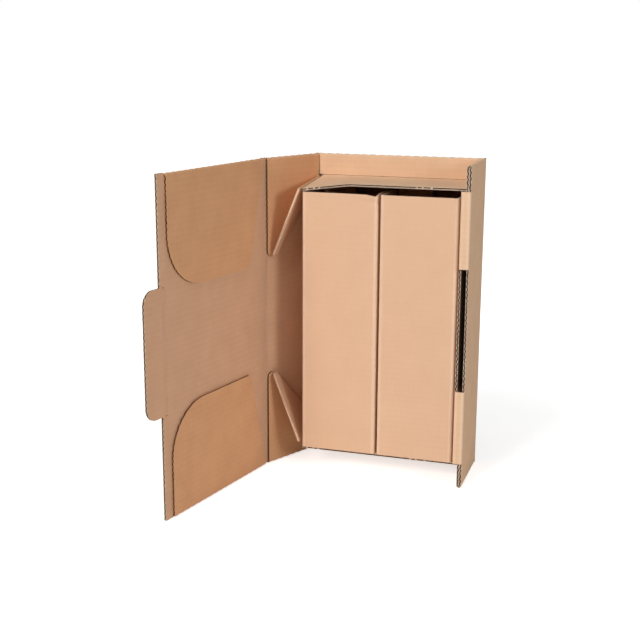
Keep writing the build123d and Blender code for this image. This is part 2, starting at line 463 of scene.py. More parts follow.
# %% Kraft fibres
kraft, kraft_in, kraft_out = node_group(
    "kraft_fibres",
    [("Sheet", "NodeSocketVector"), ("Liner", "NodeSocketColor"), ("Shade", "NodeSocketColor"),
     ("Fibres", "NodeSocketFloat"), ("Clouds", "NodeSocketFloat")],
    [("Color", "NodeSocketColor"), ("Height", "NodeSocketFloat")])
streaks = stretched_noise(kraft, kraft_in.outputs["Sheet"], (420.0, 60.0), 3.0)
hairs = stretched_noise(kraft, kraft_in.outputs["Sheet"], (1500.0, 260.0), 2.0)
clouds = stretched_noise(kraft, kraft_in.outputs["Sheet"], (34.0, 26.0), 4.0)
fibre_height = math_node(kraft, "ADD", streaks, hairs)
hair_share = math_node(kraft, "MULTIPLY", math_node(
    kraft, "SUBTRACT", fibre_height, 1.0), kraft_in.outputs["Fibres"])
cloud_share = math_node(kraft, "MULTIPLY", math_node(
    kraft, "SUBTRACT", clouds, 0.5), kraft_in.outputs["Clouds"])
kraft_share = math_node(kraft, "ADD", math_node(kraft, "ADD", hair_share, cloud_share), 0.45, clamp=True)
kraft.links.new(mix_colours(kraft, kraft_share, kraft_in.outputs["Liner"], kraft_in.outputs["Shade"]),
                kraft_out.inputs["Color"])
kraft.links.new(fibre_height, kraft_out.inputs["Height"])

# %% Flute lines of painted washboard shade
lines, lines_in, lines_out = node_group(
    "flute_lines_painted_shade",
    [("Sheet", "NodeSocketVector"), ("Color", "NodeSocketColor"), ("Strength", "NodeSocketFloat")],
    [("Color", "NodeSocketColor")])
across = put_node(lines, "ShaderNodeSeparateXYZ", {0: lines_in.outputs["Sheet"]}).outputs[1]
flute_turn = 2 * np.pi / (flute_pitch * metre_per_mm)
wave = math_node(lines, "COSINE", math_node(lines, "MULTIPLY", across, flute_turn))
patchy = stretched_noise(lines, lines_in.outputs["Sheet"], (18.0, 60.0), 2.0)
half_wave = put_node(lines, "ShaderNodeMath", {0: wave, 1: 0.5, 2: 0.5}, operation="MULTIPLY_ADD").outputs[0]
line_share = math_node(lines, "MULTIPLY", math_node(
    lines, "MULTIPLY", half_wave, patchy), lines_in.outputs["Strength"], clamp=True)
# The liner is darkened along the flutes: painted shade of the washboard.
line_shade = (0.55, 0.50, 0.45, 1)
lines.links.new(mix_colours(lines, line_share, lines_in.outputs["Color"], line_shade, "MULTIPLY"),
                lines_out.inputs["Color"])

# %% Worn folds
wear, wear_in, wear_out = node_group(
    "fold_wear",
    [("Sheet", "NodeSocketVector"), ("Fold", "NodeSocketFloat"), ("Color", "NodeSocketColor"),
     ("Rubbed", "NodeSocketColor"), ("Amount", "NodeSocketFloat")],
    [("Color", "NodeSocketColor")])
rubs = stretched_noise(wear, wear_in.outputs["Sheet"], (160.0, 110.0), 3.0)
wear_share = math_node(wear, "MULTIPLY", math_node(wear, "MULTIPLY", wear_in.outputs["Fold"], math_node(
    wear, "ADD", rubs, 0.35)), wear_in.outputs["Amount"], clamp=True)
wear.links.new(mix_colours(wear, wear_share, wear_in.outputs["Color"], wear_in.outputs["Rubbed"]),
               wear_out.inputs["Color"])
print("node groups:", kraft.name, lines.name, wear.name)

# %% Material of a paper


def paper(name, colour, shade, rubbed, fibres=0.5, cloudiness=0.9, line_strength=0.10, wear_amount=0.5):
    """Material of one paper: fibres, then flute lines of painted washboard shade, then rubbed folds, on a dull
    rough surface.
    """
    bump_strength, fibre_relief, roughness, gloss = 0.25, 0.0001, 0.88, 0.18
    material = bpy.data.materials.new(name)
    material.use_nodes = True
    tree = material.node_tree
    shader = tree.nodes["Principled BSDF"]
    sheet = put_node(tree, "ShaderNodeUVMap", uv_map="sheet").outputs[0]
    near = put_node(tree, "ShaderNodeAttribute", attribute_name="fold").outputs["Fac"]
    fibre = put_node(tree, "ShaderNodeGroup", {
        "Sheet": sheet, "Liner": (*colour, 1), "Shade": (*shade, 1), "Fibres": fibres,
        "Clouds": cloudiness}, node_tree=kraft)
    line = put_node(tree, "ShaderNodeGroup", {
        "Sheet": sheet, "Color": fibre.outputs["Color"], "Strength": line_strength}, node_tree=lines)
    rub = put_node(tree, "ShaderNodeGroup", {
        "Sheet": sheet, "Fold": near, "Color": line.outputs["Color"], "Rubbed": (*rubbed, 1),
        "Amount": wear_amount}, node_tree=wear)
    bump = put_node(tree, "ShaderNodeBump", {
        "Strength": bump_strength, "Distance": fibre_relief, "Height": fibre.outputs["Height"]})
    tree.links.new(rub.outputs["Color"], shader.inputs["Base Color"])
    tree.links.new(bump.outputs["Normal"], shader.inputs["Normal"])
    shader.inputs["Roughness"].default_value = roughness
    shader.inputs["Specular IOR Level"].default_value = gloss
    return material


# %% Papers of carton and sleeves
outer_liner = paper("carton_outer_liner", (0.85, 0.572, 0.37), (0.745, 0.48, 0.30), (0.89, 0.66, 0.48),
                    cloudiness=1.1)
inner_liner = paper("carton_inner_liner", (0.76, 0.465, 0.29), (0.66, 0.385, 0.235), (0.74, 0.46, 0.31),
                    cloudiness=1.1)
# The flaps' liner is a darker, more saturated copy of the outer liner: painted shade.
flap_liner_painted_shade = paper("carton_flap_liner_painted_shade", (0.78, 0.435, 0.23), (0.66, 0.35, 0.18), (0.80, 0.50, 0.32),
                   cloudiness=1.1)
# The fluting is painted near black: painted shade inside the flutes, not the medium's own colour.
fluting_painted_shade = paper("carton_fluting_painted_shade", (0.06, 0.032, 0.016), (0.045, 0.024, 0.012), (0.06, 0.035, 0.02),
                line_strength=0)
# The hollow liner is painted dark: painted shade inside the right wall's hollow, seen through the slot.
hollow_liner_painted_shade = paper("hollow_liner_painted_shade", (0.20, 0.12, 0.075), (0.16, 0.10, 0.06), (0.3, 0.2, 0.1),
                     line_strength=0)
cut_edge = paper("cut_edge", (0.88, 0.68, 0.52), (0.62, 0.44, 0.31), (0.9, 0.7, 0.55),
                 fibres=1.6, cloudiness=1.6, line_strength=0)
sleeve_liner = paper("sleeve_liner", (0.80, 0.515, 0.335), (0.73, 0.46, 0.295), (0.92, 0.70, 0.53),
                     fibres=0.45, cloudiness=0.8, line_strength=0.04)
sleeve_lining = paper("sleeve_lining", (0.55, 0.33, 0.20), (0.47, 0.27, 0.16), (0.7, 0.5, 0.35))
# The sleeves' fluting is painted near black: painted shade inside the flutes, not the medium's own colour.
sleeve_fluting_painted_shade = paper("sleeve_fluting_painted_shade", (0.04, 0.024, 0.014), (0.03, 0.018, 0.01), (0.05, 0.03, 0.02),
                       line_strength=0)

# Papers of a piece, and which of them a panel shows: outside, inside, in its flutes and on its cut edges
carton_papers = [outer_liner, inner_liner, fluting_painted_shade, flap_liner_painted_shade, cut_edge, hollow_liner_painted_shade]
on_outside, on_inside, in_flutes, on_flaps, on_cuts, in_hollow = range(len(carton_papers))
plain = (on_outside, on_inside, in_flutes, on_cuts)
# Flaps show the shaded copy of the outer liner, on their cut edges too: a painted shadow line instead of pale
# cut paper.
flap = (on_flaps, on_inside, in_flutes, on_flaps)
by_slot = (on_outside, in_hollow, in_flutes, on_cuts)
sleeve_papers = [sleeve_liner, sleeve_lining, sleeve_fluting_painted_shade, cut_edge]
of_sleeve = (0, 1, 2, 3)
print(len(carton_papers), "papers on the carton,", len(sleeve_papers), "on the sleeves")

# %% [markdown]
# ## The lid
#
# The lid is a panel with a flap at each end, folded in over the rim and lying on the panel's inner face. So
# the panel shows the inner liner and the flaps the outer one, in a darker copy painted as shade. The rims are
# cut-creased: short cuts along the fold let thick board turn, and leave a row of small bumps. A bump map would
# do on a face, but these bumps show on the outline, so the rim strips get many columns to carry them.

# %% Rims with bumps


def rim_bumps(p, q):
    """Dents between the bumps of a cut crease: deepest on top of the rim, once every bump length."""
    bump_length, depth, roundness = 12.0, 1.15, 0.45
    notch = 1 - np.abs(np.sin(np.pi * q / bump_length)) ** roundness
    on_top = np.sin(np.clip((np.abs(p) - to_rim) / (over_rim - to_rim), 0, 1) * np.pi)
    return depth * notch * on_top


def lay_rim(piece, surface, start, end, side, finishes):
    """Fold over a rim, in fine columns so that the bumps show."""
    column, flattened = 1.5, 0.25
    p = np.sort(side * np.linspace(to_rim, over_rim, 15))
    lay_board(piece, surface, p, always(start), always(end), even(int((end - start) / column)), finishes,
              crush=flattened, dent=rim_bumps)


def lay_raw_rim(piece, foot, heading, out, start, end, side):
    """Short piece of rim beside a flap, cut off square."""
    straight = panel_surface(foot, heading, out)
    p = np.sort(side * np.linspace(to_rim, mid_height, 4))
    lay_board(piece, straight, p, always(start), always(end), even(3), plain)


# %% Lid
wall_heading, lid_heading = -90 - wall_splay, -90 - wall_splay + lid_angle
wall_foot = np.array([left + half_board, back - half_board, 0.0])
lid_foot = wall_foot + carton_depth * heading_vector(wall_heading)
lid_start = crease_gap
lid_surface = rim_surface(lid_foot, lid_heading, out_of(lid_heading))

flap_edge = lid_edge - flap_edge_inset
flap_tip = carton_height - flap_length


def lid_flap_low(p):
    """Slanted inner edge of the lid's flap, with its rounded tip."""
    z = flap_height(p)
    slant = half_board + np.interp(z, [flap_tip, carton_height], [flap_tip_inset, flap_rim_inset])
    rise = np.clip(flap_tip_corner - (z - flap_tip), 0, flap_tip_corner)
    return slant + flap_tip_corner - np.sqrt(flap_tip_corner**2 - rise**2)


def lid_flap_high(p):
    """Straight outer edge of the lid's flap, and the large arc at its tip."""
    z = flap_height(p)
    rise = np.clip(flap_corner - (z - flap_tip), 0, flap_corner)
    return flap_edge - flap_corner + np.sqrt(flap_corner**2 - rise**2)


lid = Piece("lid_board")
notch_low, notch_high = tab_low - slit_seen - mid_height, tab_high + slit_seen - mid_height
panel_columns = np.array([0, .01, .02, .035, .06, .12, .25, .4, .55, .7, .85, .95, 1])
for start, end, edge in ((-to_rim, notch_low, lid_edge), (notch_low, notch_high, tab_crease - crease_gap),
                         (notch_high, to_rim, lid_edge)):
    lay_board(lid, lid_surface, rows_between(start, end, liner_step), always(lid_start), always(edge),
              panel_columns, plain)
tip_rows = flap_tip + flap_corner * (1 - np.cos(np.linspace(0, np.pi / 2, 40)))
tip_steps = flap_tip + np.array([0.02, 0.1, 0.3, 0.7, 1.3, 2.2, 3.4])
for side in (1, -1):
    lay_rim(lid, lid_surface, half_board + flap_rim_inset, flap_edge, side, flap)
    p = rows_between(over_rim, on_flap(flap_tip), liner_step, on_flap(tip_rows), on_flap(tip_steps))
    lay_board(lid, lid_surface, np.sort(side * p), lid_flap_low, lid_flap_high, even(9), flap)
    lay_raw_rim(lid, lid_foot, lid_heading, out_of(lid_heading), lid_start, half_board + flap_rim_inset, side)
    lay_raw_rim(lid, lid_foot, lid_heading, out_of(lid_heading), flap_edge, lid_edge, side)
lid_board = lid.make(carton_papers)

# %% [markdown]
# ## The tuck tab
#
# The tab on the lid's free edge is cut from the same panel, so its flutes run on from the lid's. It could be
# a part of the lid's mesh, but it swings on a crease of its own, so it is laid as a piece of its own on the
# same surface.

# %% Tuck tab


def tab_tip(p):
    """Far edge of the tab: straight, with a quarter circle at each end."""
    z = np.minimum(mid_height + p - tab_low, tab_high - mid_height - p)
    rise = np.clip(tab_corner - z, 0, tab_corner)
    return lid_edge + tab_reach - tab_corner + np.sqrt(tab_corner**2 - rise**2)


tab = Piece("tuck_tab_board")
tab_ends = tab_corner * (1 - np.cos(np.linspace(0, np.pi / 2, 14)))
tab_rows = rows_between(tab_low - mid_height, tab_high - mid_height, liner_step,
                        tab_low - mid_height + tab_ends, tab_high - mid_height - tab_ends)
lay_board(tab, lid_surface, tab_rows, always(tab_crease + crease_gap), tab_tip, even(7), plain)
tab_board = tab.make(carton_papers)

# %% [markdown]
# ## The side wall and its web corners
#
# The left wall swings out on the back panel's crease. A flap at each end is folded in over the rim, and is
# cut along a diagonal crease to a web triangle. The web is the same sheet, turned over on that diagonal, so
# its flutes stand upright where the flap's lie level. It could be modelled in its place by eye. Laying it
# flat on the flap and turning it about the diagonal keeps its size true, and gives the pose for nothing.
# Its free edge runs along a flute and is closed by the flute's wall, and the liner closes the upper side.

# %% Side wall
wall_out = out_of(wall_heading)
wall_surface = rim_surface(wall_foot, wall_heading, wall_out)
round_q, round_z = web_end - web_corner, web_low_z + web_corner / np.tan(np.pi / 4 - slope / 2)


def wall_flap_low(p):
    """Back edge of the wall's flap, then the diagonal crease, then the rounded corner's far side."""
    z = flap_height(p)
    diagonal = web_start + np.clip(corner_z - z, 0, None) / np.tan(slope)
    below = np.clip(round_z - z, 0, web_corner)
    in_round = z < round_z - web_corner * np.cos(slope)
    return np.where(in_round, round_q - np.sqrt(web_corner**2 - below**2), diagonal)


def wall_flap_high(p):
    """Front edge of the wall's flap, straight and then round the corner."""
    z = flap_height(p)
    below = np.clip(round_z - z, 0, web_corner)
    return round_q + np.sqrt(web_corner**2 - below**2)


wall = Piece("side_wall_board")
wall_start, wall_stop = crease_gap, carton_depth - front_gap
wall_columns = np.array([0, .03, .08, .2, .4, .6, .8, .9, .95, .98, 1])
lay_board(wall, wall_surface, rows_between(-to_rim, to_rim, liner_step), always(wall_start),
          always(wall_stop), wall_columns, plain)
flap_foot = round_z - web_corner
corner_steps = np.array([0, .006, .024, .06, .12, .2, .3, .44, .64, .84, 1])
corner_rows = flap_foot + web_corner * corner_steps
for side in (1, -1):
    lay_rim(wall, wall_surface, web_start, web_end, side, flap)
    p = rows_between(over_rim, on_flap(flap_foot), liner_step, on_flap(corner_rows))
    lay_board(wall, wall_surface, np.sort(side * p), wall_flap_low, wall_flap_high, even(6), flap)
    lay_raw_rim(wall, wall_foot, wall_heading, wall_out, wall_start, web_start, side)
    lay_raw_rim(wall, wall_foot, wall_heading, wall_out, web_end, wall_stop, side)
side_wall_board = wall.make(carton_papers)

# %% Surface of the webs
# The web stands a lip over its side, starts an inset from the inner corner, and clears the diagonal
web_lip, web_inset, web_clear = 1.6, 4.0, 0.4
strip_depth = 0.5


def web_surface(mirrored):
    """Web triangle: lies on the wall's flap, then is lifted about the diagonal crease by the web's lift.

    p runs along the wall, across the web's upright flutes, and q runs up.
    """
    along = heading_vector(wall_heading)
    a_point = wall_foot + web_start * along - web_axis_depth * wall_out + corner_z * up
    c_point = wall_foot + web_end * along - web_axis_depth * wall_out + web_low_z * up
    turn = np.array(Matrix.Rotation(-web_lift, 3, Vector(c_point - a_point)))
    depth = web_axis_depth + ply_gap / 2 + half_board
    flip = np.array([1.0, 1.0, -1.0]) if mirrored else np.ones(3)

    def surface(p, q):
        flat = wall_foot + p[..., None] * along - depth * wall_out + q[..., None] * up
        centre = (flat - a_point) @ turn.T + a_point
        normal = np.broadcast_to(wall_out @ turn.T, centre.shape)
        if mirrored:
            centre = centre * flip + np.array([0, 0, carton_height])
        return centre, normal * flip

    return surface


# %% Outline of the webs
# Free edge from the upper side's end (B) to the rounded corner (C), in the flap's own plane
upper_p, upper_z = web_start + end_leg, corner_z
edge_lean = np.arctan2(web_end - upper_p, upper_z - web_low_z)
tip_half = (np.pi / 2 - slope - edge_lean) / 2
tip_p = web_end - web_corner / np.sin(tip_half) * np.sin(edge_lean + tip_half)
tip_z = web_low_z + web_corner / np.sin(tip_half) * np.cos(edge_lean + tip_half)
edge_p = web_end - web_corner / np.tan(tip_half) * np.sin(edge_lean)
edge_z = web_low_z + web_corner / np.tan(tip_half) * np.cos(edge_lean)


def web_foot(p):
    """Lower end of the web's flutes: the sloping crease, then the rounded corner."""
    crease = corner_z - (p - web_start) * np.tan(slope) + web_clear
    aside = np.clip(np.abs(p - tip_p), 0, web_corner)
    return np.where(p > tip_p - web_corner * np.sin(slope), tip_z - np.sqrt(web_corner**2 - aside**2), crease)


def web_top(p):
    """Upper end of the web's flutes: the side that meets the end wall, then the free edge."""
    return np.minimum(corner_z + web_lip, upper_z + web_lip - (p - upper_p) / np.tan(edge_lean))


# %% Web boards
edge_steps = np.array([0.02, 0.1, 0.3, 0.7, 1.4])
web_rows = rows_between(web_start + web_inset, edge_p, liner_step, upper_p, edge_p - edge_steps)
rise = even(30)
round_tip = np.linspace(edge_lean, np.radians(-60), 12)
free_p = np.append(upper_p + (edge_p - upper_p) * rise, tip_p + web_corner * np.cos(round_tip))
free_q = np.append(upper_z + web_lip + (edge_z - upper_z - web_lip) * rise,
                   tip_z + web_corner * np.sin(round_tip))
upper_side = web_rows[0] + (upper_p - web_rows[0]) * rise
web_boards = {}
for name, mirrored in (("web_top", False), ("web_bottom", True)):
    web, surface = Piece(name + "_board"), web_surface(mirrored)
    lay_board(web, surface, web_rows, web_foot, web_top, even(8), flap)
    close_edge(web, surface, free_p, free_q, (-strip_depth, 0.0), on_cuts)
    close_edge(web, surface, upper_side, corner_z + web_lip, (0.0, -strip_depth), on_flaps)
    web_boards[name] = web.make(carton_papers)

# %% [markdown]
# ## The fixed part of the carton
#
# Back panel, rims, strips and end walls are one run of the sheet: up the back, over the rim, down the strip
# and forwards along the end wall. The cutting die leaves nicks on the end wall's front edge, where flutes are
# pressed shut. The right wall rolls over at the front: out, across and back as an inner leaf, with a slot for
# the tab in its front. There the folds cross the flutes, and a pale patch near its upper end is a painted
# highlight where the bent front catches the light. Each panel could be a box of its own. Fold paths are used
# instead, so that the liners run on round the folds.

# %% Surface of back panel, strips and end walls
carton = Piece("carton_board")
back_foot = np.array([left, back - half_board, 0.0])
back_out = np.array([0.0, 1.0, 0.0])
crease_line, bend_ease = 0.5, 0.3
bend_radius = half_board + bend_ease
bend_start = to_end_wall - bend_ease
end_bend = (bend_start, bend_radius, -90.0)
back_surface = rim_surface(back_foot, 0, back_out, [end_bend])
strip_start, strip_end = board + clearance, carton_width - ply


def sagging_back(p, q):
    """Back sheet whose upper end wall is pulled down at its front left corner by the web.

    The drop is the corner's own, times the shares of the way forwards and of the way to the left.
    """
    centre, normal = back_surface(p, q)
    x, y = centre[..., 0], centre[..., 1]
    forward = np.clip((back - ply - y) / (back - ply - end_front), 0, 1)
    leftward = np.clip(1 - (x - end_left) / end_twist_run, 0, 1)
    drop = np.where(p > 0, corner_drop * forward * leftward, 0)
    return centre - drop[..., None] * up, normal


# %% Back panel, strips and end walls
back_end = carton_width - board
die_nicks, nick_half, nick_depth = (17.0, 26.0, 33.0, 161.0, 168.5, 180.0), 1.1, 1.2
back_columns = np.array([0, .02, .05, .1, .2, .35, .5, .65, .8, .9, .95, .98, 1])
lay_board(carton, back_surface, rows_between(-to_rim, to_rim, liner_step), always(back_gap),
          always(back_end), back_columns, plain)
wall_reach = bend_start + bend_radius * np.pi / 2 + (back - ply - half_board - bend_radius - end_front)
bend_rows = bend_start + bend_radius * np.append(np.linspace(0, np.pi / 2, 7), np.pi / 2 + 0.05)
for side in (1, -1):
    lay_rim(carton, back_surface, strip_start, strip_end, side, plain)
    p = np.sort(side * rows_between(over_rim, bend_start - crease_line, liner_step))
    lay_board(carton, back_surface, p, always(strip_start), always(strip_end), even(9), plain)
    p = np.sort(side * rows_between(bend_start, wall_reach, liner_step, bend_rows))
    lay_board(carton, sagging_back, p, always(end_left - left), always(end_right - left), even(24), plain,
              fold=lambda p_, q_: 0 * p_)
    for place in die_nicks:
        nick = place + np.linspace(-nick_half, nick_half, 4)
        close_edge(carton, sagging_back, side * wall_reach, nick, (-side * nick_depth, 0.0), on_cuts)
    lay_raw_rim(carton, back_foot, 0, back_out, back_gap, strip_start, side)
    lay_raw_rim(carton, back_foot, 0, back_out, strip_end, back_end, side)

# %% Surfaces of the right wall
right_foot = np.array([right - half_board, back, 0.0])
right_out = np.array([1.0, 0.0, 0.0])
right_surface = rim_surface(right_foot, -90, right_out)
right_panel = panel_surface(right_foot, -90, right_out)
leaf_panel = panel_surface(right_foot - (roll_width - board) * right_out, -90, -right_out)
roll_radius = half_board
roll_legs = [roll_front - half_board - board, roll_width - board, roll_front - half_board - rim_width]
roll_folds, roll_length = corner_folds(roll_legs, -90.0, roll_radius)
roll_surface = wound_surface(right - half_board, back - board, -90, roll_length, roll_folds, -1.0)


def arc_length(radius, angle):
    """Length of a fold's arc: its radius times its angle."""
    return radius * np.radians(abs(angle))


def near_folds(folds, width):
    """How near a point is to an upright fold: 1 on the fold's arc, falling to 0 over a width."""
    arcs = [(start, arc_length(radius, angle)) for start, radius, angle in folds]

    def near(p, q):
        gaps = [np.maximum(np.abs(q - start - arc / 2) - arc / 2, 0) for start, arc in arcs]
        return np.clip(1 - np.min(gaps, axis=0) / width, 0, 1)

    return near


def fold_columns(length, folds, runs):
    """Shares of a path's length for its columns: close together on the folds, runs of them between."""
    close_by, farther = 0.4, 1.5
    stops = [np.linspace(0, length, runs)]
    for start, radius, angle in folds:
        end = start + arc_length(radius, angle)
        beside = [start - farther, start - close_by, end + close_by, end + farther]
        stops += [np.linspace(start, end, 6), beside]
    return np.unique(np.round(np.concatenate(stops), 4)) / length


# %% Roll-over, with its painted highlight
slot_low, slot_high = tab_low - slot_clearance, tab_high + slot_clearance
roll_columns = fold_columns(roll_length, roll_folds, 10)
roll_rub, corner_rub = 1.5, 0.6
for start, end in ((carton_height - roll_top, slot_low), (slot_high, roll_top)):
    lay_board(carton, roll_surface, rows_between(start, end, liner_step), always(0), always(roll_length),
              roll_columns, plain, fold=near_folds(roll_folds, roll_rub))

# Painted highlight across the roll-over's front, from fold to fold: a pale lens of cut paper, whose half width
# falls off as a parabola
highlight_reach, highlight_taper, highlight_drop = 4.6, 0.85, 16.5
highlight_sunk, highlight_proud = 0.2, 0.03
highlight_across = np.linspace(-highlight_reach, highlight_reach, 9)
highlight_half = 1.0 - highlight_taper * (highlight_across / highlight_reach) ** 2
highlight_rows = roll_top - highlight_drop + np.linspace(-1, 1, 4)[:, None] * highlight_half
roll_middle = np.mean([start + roll_radius * np.pi / 4 for start, _, _ in roll_folds])
highlight_along = roll_middle + highlight_across + 0 * highlight_rows
painted_highlight, painted_highlight_out = roll_surface(highlight_rows, highlight_along)
carton.slab(painted_highlight + (half_board - highlight_sunk) * painted_highlight_out, painted_highlight + (half_board + highlight_proud) * painted_highlight_out,
            np.stack([highlight_along, highlight_rows], -1), 0 * highlight_rows, (on_cuts,) * 3)

# %% Panels beside the slot, the corner at the back, and the flaps locked in the hollow
slot_rows = rows_between(slot_low - mid_height, slot_high - mid_height, liner_step)
# Inside the hollow, these panels show the dark hollow liner: painted shade.
lay_board(carton, right_panel, slot_rows, always(board), always(roll_front - board), even(8), by_slot)
lay_board(carton, leaf_panel, slot_rows, always(rim_width), always(roll_front - board), even(8), by_slot)
turn_surface = wound_surface(right - board, back - half_board, 0, half_board * np.pi / 2,
                             [(0, half_board, -90.0)], -1.0)
lay_board(carton, turn_surface, rows_between(0, carton_height, liner_step), always(0),
          always(half_board * np.pi / 2), even(9), plain, fold=lambda p_, q_: corner_rub + 0 * p_)
hidden_end = roll_front - board - ply_gap
hidden_low = corner_z - hidden_end + rim_width


def hidden_flap_low(p):
    """Diagonal edge of the flap that is locked inside the right wall."""
    z = flap_height(p)
    return rim_width + np.clip(corner_z - z, 0, None)


for side in (1, -1):
    zone = np.sort(side * rows_between(roll_top - mid_height, to_rim, liner_step))
    lay_board(carton, right_surface, zone, always(board), always(roll_front), even(8), plain)
    lay_rim(carton, right_surface, ply, roll_front, side, plain)
    strip = np.sort(side * rows_between(over_rim, to_end_wall + board, liner_step))
    lay_board(carton, right_surface, strip, always(ply), always(roll_front), even(8), plain)
    locked = np.sort(side * rows_between(to_end_wall + board, on_flap(hidden_low + 1), liner_step))
    lay_board(carton, right_surface, locked, hidden_flap_low, always(hidden_end), even(5), plain)
    lay_raw_rim(carton, right_foot, -90, right_out, board, ply, side)
carton_board = carton.make(carton_papers)

# %% [markdown]
# ## Bottle sleeves
#
# A sleeve is one sheet of lighter board, wound once round: a half-width cushion panel inside at the back,
# the glued lap, then the four sides. Its creases cross the flutes, and are rubbed pale along the edges. A
# tube of four boxes would look the same from the front, but not from above, where the wound sheet shows.
# Handling has crushed one upper corner of the left sleeve: there the same surface is pushed down and in.

# %% Surface of a sleeve
lap = half_board + ply
cushion = sleeve_depth - half_board - board - cushion_air
far_side, rear = sleeve_width - half_board, sleeve_depth - half_board
sleeve_legs = [sleeve_width / 2 - lap, rear - cushion, far_side - lap, rear - half_board,
               far_side - half_board, sleeve_depth - ply - half_board]
sleeve_folds, sleeve_length = corner_folds(sleeve_legs, -90.0, sleeve_fold_radius)
sleeve_columns = fold_columns(sleeve_length, sleeve_folds, 16)
sleeve_boards = {}


def crushed(surface, corner):
    """Surface whose top is pushed down and in round one upright fold, as far as the crease that it made.

    The push falls off beside the fold as a bell curve, and downwards as the square of the depth's share.
    The wrinkle is a bell curve of that share, too.
    """
    depth_run, bell_width, push = 17.0, 8.5, 2.1
    wrinkle_in, wrinkle_place, wrinkle_width = 1.3, 0.45, 0.2

    def pressed(p, q):
        depth = np.clip((p - sleeve_foot - sleeve_height) / depth_run + 1, 0, 1)
        beside = np.exp(-(((q - corner) / bell_width) ** 2))
        centre, normal = surface(p - push * beside * depth**2, q)
        wrinkle = wrinkle_in * beside * np.exp(-(((depth - wrinkle_place) / wrinkle_width) ** 2))
        return centre - wrinkle[..., None] * normal, normal

    return pressed


# %% Sleeve boards
sleeve_top = sleeve_foot + sleeve_height
sleeve_rows = rows_between(sleeve_foot, sleeve_top, liner_step, sleeve_top - np.arange(0, 20, 1.2))
sleeve_rub = 1.6
crushed_corner = sleeve_folds[3][0] + 2 * sleeve_fold_radius
for name, x in (("left", sleeve_left), ("right", sleeve_left + sleeve_width + sleeve_spacing)):
    sleeve = Piece(f"sleeve_{name}_board")
    surface = wound_surface(x + sleeve_width / 2, sleeve_front + cushion, 180, sleeve_length,
                            sleeve_folds, -1.0)
    if name == "left":
        surface = crushed(surface, crushed_corner)
    lay_board(sleeve, surface, sleeve_rows, always(0), always(sleeve_length), sleeve_columns, of_sleeve,
              fold=near_folds(sleeve_folds, sleeve_rub))
    for level, inward in ((sleeve_rows[-1], -strip_depth), (sleeve_rows[0], strip_depth)):
        close_edge(sleeve, surface, level, sleeve_columns * sleeve_length, (inward, 0.0), of_sleeve[-1])
    sleeve_boards[name] = sleeve.make(sleeve_papers)

# %% [markdown]
# ## Crease skins
#
# On the real sheet the liners run on through every crease. The swinging panels are separate solids, and
# would leave a slit there. An armature could bend one mesh over the crease. Here the liners are carried over
# the moving creases by thin skins.

# %% A skin over a crease


def crease_skin(name, centre, heading_in, heading_out, heights, inner, reach=2.8, radius=half_board):
    """Liner over an upright crease: a straight reach, an arc about the crease line, a straight reach.

    On the inner side of the fold the skin dips a little towards the crease line, as half a cosine wave.
    """
    valley, end_inset = 0.3 if inner else 0.0, 0.6
    side = -1.0 if inner else 1.0
    shares = np.linspace(-1, 1, 25)
    turn = np.radians(heading_in + (heading_out - heading_in) * (np.clip(shares * 2, -1, 1) + 1) / 2)
    run = np.sign(shares) * np.clip(np.abs(shares) * 2 - 1, 0, 1) * reach
    dip = np.where(np.abs(shares) < 0.5, (np.cos(shares * 2 * np.pi) + 1) / 2, 0) * valley
    lift = radius - dip
    low_x = centre[0] + run * np.cos(turn) + side * (lift - liner) * np.sin(turn)
    low_y = centre[1] + run * np.sin(turn) - side * (lift - liner) * np.cos(turn)
    high_x = centre[0] + run * np.cos(turn) + side * lift * np.sin(turn)
    high_y = centre[1] + run * np.sin(turn) - side * lift * np.cos(turn)
    z = np.linspace(heights[0] + end_inset, heights[1] - end_inset, 12)[:, None]
    low = np.stack([low_x + 0 * z, low_y + 0 * z, z + 0 * low_x], -1)
    high = np.stack([high_x + 0 * z, high_y + 0 * z, z + 0 * high_x], -1)
    skin, rubbed = Piece(name), 0.35
    skin.slab(low, high, np.stack([run + 0 * z, z + 0 * run], -1), rubbed + 0 * low[..., 0],
              (on_inside if inner else on_outside,) * 3)
    return skin.make(carton_papers)


# %% Skins over the moving creases
tab_foot = lid_foot + tab_crease * heading_vector(lid_heading)
full_height, tab_span = (0, carton_height), (tab_low, tab_high)
skins = {
    "back_crease_skin": (wall_foot, -180, wall_heading, full_height, "carton", "side_wall", False),
    "lid_crease_outer_skin": (lid_foot, wall_heading, lid_heading, full_height, "side_wall", "lid", False),
    "lid_crease_inner_skin": (lid_foot, wall_heading, lid_heading, full_height, "side_wall", "lid", True),
    "tab_crease_outer_skin": (tab_foot, lid_heading, lid_heading, tab_span, "lid", "tuck_tab", False),
    "tab_crease_inner_skin": (tab_foot, lid_heading, lid_heading, tab_span, "lid", "tuck_tab", True),
}
for name, (centre, before, after, heights, body_a, body_b, inner) in skins.items():
    skin = crease_skin(name, centre, before, after, heights, inner)
    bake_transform(skin)

# %% [markdown]
# ## Pieces and bodies
#
# Every piece rides on a body of the imported model, so that it moves with the joints, and stands for the solid
# that it shows in detail: it is parented to the body's empty, and that solid is hidden.

